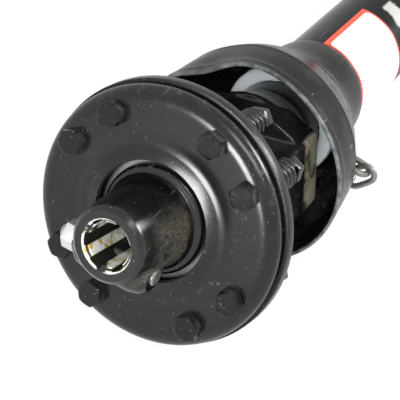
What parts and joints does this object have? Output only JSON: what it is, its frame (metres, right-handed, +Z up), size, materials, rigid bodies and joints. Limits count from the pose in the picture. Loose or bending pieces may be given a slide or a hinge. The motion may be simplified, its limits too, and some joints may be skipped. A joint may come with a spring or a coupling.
{
  "type": "pto drive shaft",
  "caption": "Telescoping drive shaft with a sprung friction clutch, two cross joints and a plastic guard that turns on its own bearings.",
  "frame": {"origin": "centre of the clutch hub's splined bore, where its teeth begin behind the lead-in", "axes": "+X along the shaft, away from the clutch; +Z up as the shaft lies on a floor"},
  "size_m": [0.9338, 0.182, 0.1801],
  "materials": {
    "black_paint": "satin black paint with scuffs",
    "black_spring_paint": "glossy black paint on spring wire",
    "forging_paint": "satin black paint on a rough forging",
    "profile_steel": "drawn steel, greased",
    "bearing_steel": "ground steel",
    "spring_steel": "dark spring steel",
    "seal_rubber": "black rubber",
    "bush_bronze": "sintered bronze",
    "friction_lining": "brown friction lining",
    "zinc_steel": "bright zinc plating",
    "guard_plastic": "moulded black plastic, scuffed",
    "nylon": "white nylon"
  },
  "bodies": {
    "drive_outer": {"tube_yoke_front": "forging_paint", "outer_profile_tube": "profile_steel", "yoke_pin_front": "bearing_steel", "cross_caps_front_shaft": "bearing_steel", "cap_clips_front_shaft": "spring_steel"},
    "guard_front": {"guard_bell_front": "guard_plastic", "guard_bearing_front": "nylon", "guard_tube_outer": "guard_plastic", "safety_chain": "zinc_steel"},
    "cross_front": {"cross_front": "bearing_steel", "cross_seals_front": "seal_rubber", "grease_nipple_front": "zinc_steel"},
    "clutch_yoke": {"flange_yoke": "black_paint", "pressure_plate": "black_paint", "clutch_bolts": "black_paint", "clutch_nuts": "black_paint", "clutch_springs": "black_spring_paint", "cross_caps_front_clutch": "bearing_steel", "cap_clips_front_clutch": "spring_steel", "hub_bush": "bush_bronze"},
    "clutch_hub": {"clutch_hub": "black_paint", "friction_ring_front": "friction_lining", "friction_ring_back": "friction_lining", "taper_pin": "zinc_steel", "taper_pin_nut": "zinc_steel"},
    "drive_inner": {"tube_yoke_rear": "forging_paint", "inner_profile_tube": "profile_steel", "yoke_pin_rear": "bearing_steel", "cross_caps_rear_shaft": "bearing_steel", "cap_clips_rear_shaft": "spring_steel"},
    "guard_rear": {"guard_bell_rear": "guard_plastic", "guard_bearing_rear": "nylon", "guard_tube_inner": "guard_plastic"},
    "cross_rear": {"cross_rear": "bearing_steel", "cross_seals_rear": "seal_rubber", "grease_nipple_rear": "zinc_steel"},
    "tractor_yoke": {"tractor_yoke": "forging_paint", "cross_caps_rear_tractor": "bearing_steel", "cap_clips_rear_tractor": "spring_steel", "release_spring": "spring_steel"},
    "release_pin": {"release_pin": "zinc_steel", "release_clip": "spring_steel"}
  },
  "joints": [
    {"name": "telescope", "type": "slide", "parent": "drive_outer", "child": "drive_inner", "axis": [1, 0, 0], "range_m": [-0.07, 0.13]},
    {"name": "guard_front_turn", "type": "hinge", "parent": "drive_outer", "child": "guard_front", "pos_m": [0.12078, 0, -0.0238], "axis": [1, 0, 0], "continuous": true},
    {"name": "guard_rear_turn", "type": "hinge", "parent": "drive_inner", "child": "guard_rear", "pos_m": [0.82078, 0, -0.0238], "axis": [1, 0, 0], "continuous": true},
    {"name": "front_joint_level", "type": "hinge", "parent": "drive_outer", "child": "cross_front", "pos_m": [0.12078, 0, -0.0238], "axis": [0, 1, 0], "range_deg": [-31.15, 8.85]},
    {"name": "front_joint_upright", "type": "hinge", "parent": "cross_front", "child": "clutch_yoke", "pos_m": [0.12078, 0, -0.0238], "axis": [0.1934, 0, 0.9811], "range_deg": [-20, 20]},
    {"name": "clutch_slip", "type": "hinge", "parent": "clutch_yoke", "child": "clutch_hub", "pos_m": [0, 0, 0], "axis": [-0.9811, 0, 0.1934], "continuous": true},
    {"name": "rear_joint_level", "type": "hinge", "parent": "drive_inner", "child": "cross_rear", "pos_m": [0.82078, 0, -0.0238], "axis": [0, 1, 0], "range_deg": [-20, 20]},
    {"name": "rear_joint_upright", "type": "hinge", "parent": "cross_rear", "child": "tractor_yoke", "pos_m": [0.82078, 0, -0.0238], "axis": [0, 0, 1], "range_deg": [-20, 20]},
    {"name": "release_push", "type": "slide", "parent": "tractor_yoke", "child": "release_pin", "axis": [0, 1, 0], "range_m": [0, 0.008], "stiffness_N_per_m": 1500, "springref_m": -0.004, "deforming": ["release_spring"]}
  ]
}
